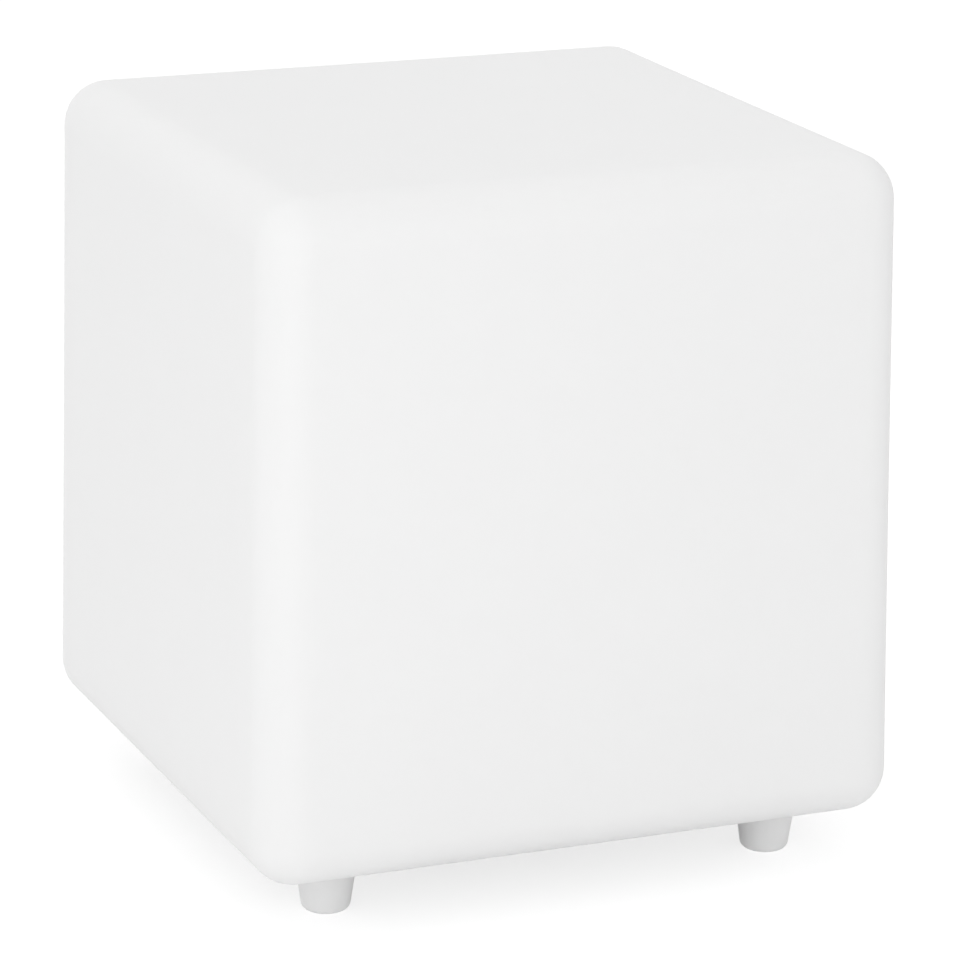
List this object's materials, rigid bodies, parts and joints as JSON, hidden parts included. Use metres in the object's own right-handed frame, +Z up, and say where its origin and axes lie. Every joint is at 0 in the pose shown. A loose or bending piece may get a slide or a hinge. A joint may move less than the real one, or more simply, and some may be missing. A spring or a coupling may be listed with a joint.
{
  "type": "led cube light",
  "caption": "Cube-shaped translucent white garden light with rounded edges on short moulded feet, with a screwed-in light module, a push button and a covered charging socket underneath.",
  "frame": {"origin": "on the ground under the middle of the cube", "axes": "+Z up; -Y is the face that looks towards the camera; the push button lies towards +X and the charging socket towards -X of the middle"},
  "size_m": [0.3038, 0.3038, 0.327],
  "materials": {
    "shell_plastic": "satin, translucent white, fine moulding grain",
    "base_plastic": "satin, opaque white",
    "button_rubber": "satin grey",
    "silicone_white": "matt",
    "silicone_dark": "matt",
    "cover_silicone": "matt grey",
    "stainless_screws": "stainless, turned",
    "zinc_screws": "bright zinc",
    "brass_inserts": "turned",
    "brass_posts": "turned from hexagonal bar",
    "plated_pin": "nickel plated",
    "nickel_contacts": "nickel plated",
    "stem_plastic": "plain",
    "switch_plastic": "plain",
    "socket_plastic": "plain",
    "light_pipe": "clear, polished ends",
    "led_package": "white package with a yellow window",
    "circuit_board": "green solder mask",
    "chip_plastic": "black moulding compound",
    "plug_nylon": "natural nylon",
    "holder_plastic": "black",
    "cell_sleeve": "shrink sleeve",
    "lead_red": "insulation",
    "lead_black": "insulation",
    "lead_white": "insulation",
    "tray_plastic": "white",
    "led_board_aluminium": "white mask over aluminium",
    "receiver_resin": "dark resin",
    "dome_plastic": "frosted"
  },
  "bodies": {
    "lamp": {"cube_shell": "shell_plastic", "threaded_inserts": "brass_inserts", "base_gasket": "silicone_white", "base_plate": "base_plastic", "well_pan": "base_plastic", "board_posts": "brass_posts", "base_screws": "stainless_screws", "power_switch": "switch_plastic", "charge_socket": "socket_plastic", "charge_socket_pin": "plated_pin", "socket_seal": "silicone_dark", "port_cover_anchor": "cover_silicone", "charge_indicator": "light_pipe", "indicator_led": "led_package", "control_board": "circuit_board", "board_screws": "zinc_screws", "controller_chip": "chip_plastic", "power_components": "chip_plastic", "board_sockets": "plug_nylon", "lead_plugs": "plug_nylon", "battery_holder_front": "holder_plastic", "battery_holder_back": "holder_plastic", "battery_cell_front": "cell_sleeve", "battery_cell_back": "cell_sleeve", "battery_contacts": "nickel_contacts", "battery_leads_positive": "lead_red", "battery_leads_negative": "lead_black", "led_tray": "tray_plastic", "tray_screws": "zinc_screws", "led_board": "led_board_aluminium", "led_board_screws": "zinc_screws", "led_chips": "led_package", "led_wires": "lead_white", "ir_receiver": "receiver_resin", "light_dome": "dome_plastic", "dome_seal": "silicone_white"},
    "button": {"power_button": "button_rubber", "button_seal": "silicone_dark", "switch_stem": "stem_plastic"},
    "cover": {"port_cover": "cover_silicone"}
  },
  "joints": [
    {"name": "button_press", "type": "slide", "parent": "lamp", "child": "button", "axis": [0, 0, 1], "range_m": [0, 0.0012], "stiffness_N_per_m": 1500, "springref_m": -0.0004},
    {"name": "cover_swing", "type": "hinge", "parent": "lamp", "child": "cover", "pos_m": [-0.021, 0, 0.03195], "axis": [0, 1, 0], "range_deg": [0, 105]}
  ]
}
